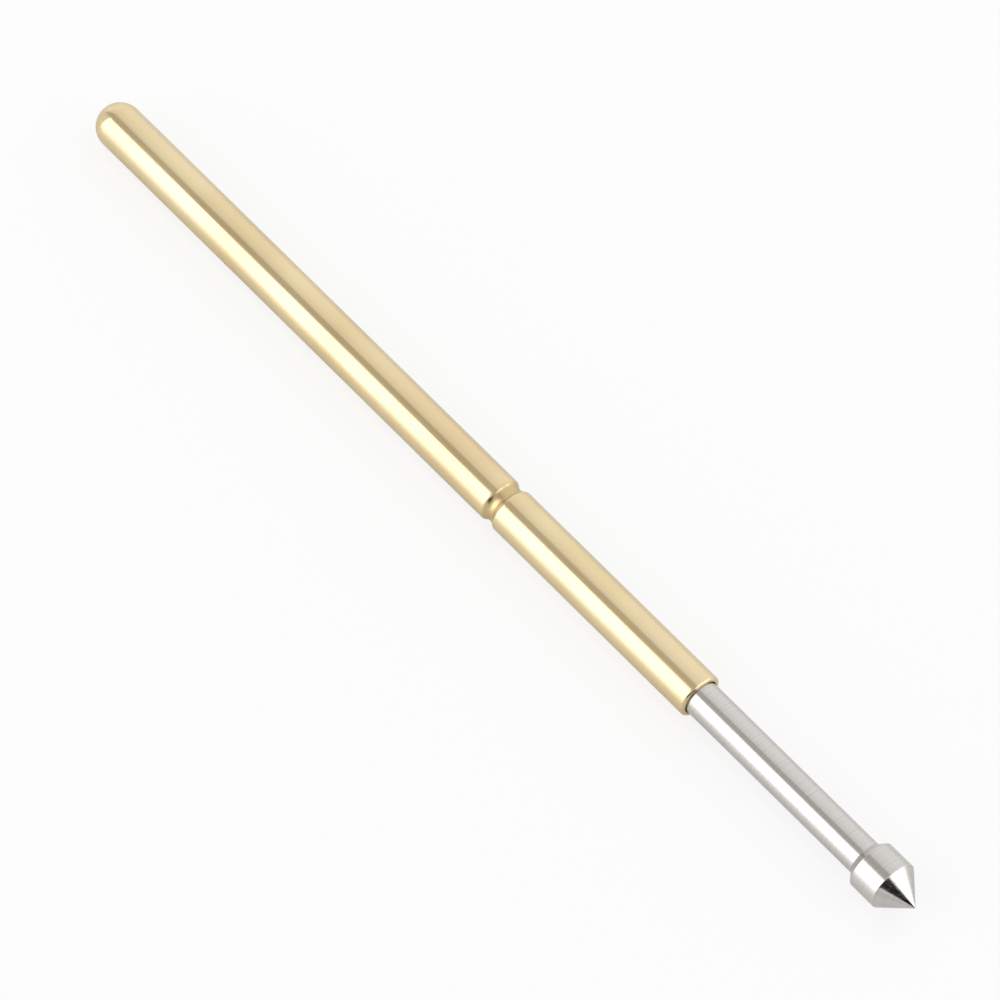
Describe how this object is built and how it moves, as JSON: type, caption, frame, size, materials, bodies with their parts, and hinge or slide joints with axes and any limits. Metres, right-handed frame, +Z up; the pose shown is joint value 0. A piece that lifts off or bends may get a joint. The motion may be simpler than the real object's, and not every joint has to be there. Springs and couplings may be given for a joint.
{
  "type": "pogo pin",
  "caption": "Slim spring test probe: a gilt crimped tube with a round closed tail, and a bright plunger with a collar and a conical point that slides in it.",
  "frame": {"origin": "centre of the barrel's open mouth", "axes": "+X along the pin towards its point, +Z up; the pin is round, so Y and Z are alike"},
  "size_m": [0.0333, 0.0014, 0.0016],
  "materials": {
    "gilt_barrel": "thin pale gold plating over a drawn tube, bright",
    "spring_wire": "drawn spring wire, bright",
    "plated_plunger": "nickel plating over a turned rod, with fine turning marks"
  },
  "bodies": {
    "barrel": {"barrel": "gilt_barrel"},
    "spring": {"spring": "spring_wire"},
    "plunger": {"plunger": "plated_plunger"}
  },
  "joints": [
    {"name": "plunger_turn", "type": "hinge", "parent": "barrel", "child": "spring", "pos_m": [0, 0, 0], "axis": [1, 0, 0], "continuous": true},
    {"name": "plunger_slide", "type": "slide", "parent": "spring", "child": "plunger", "axis": [-1, 0, 0], "range_m": [0, 0.00635], "stiffness_N_per_m": 254, "springref_m": -0.0027, "deforming": ["spring"]}
  ]
}
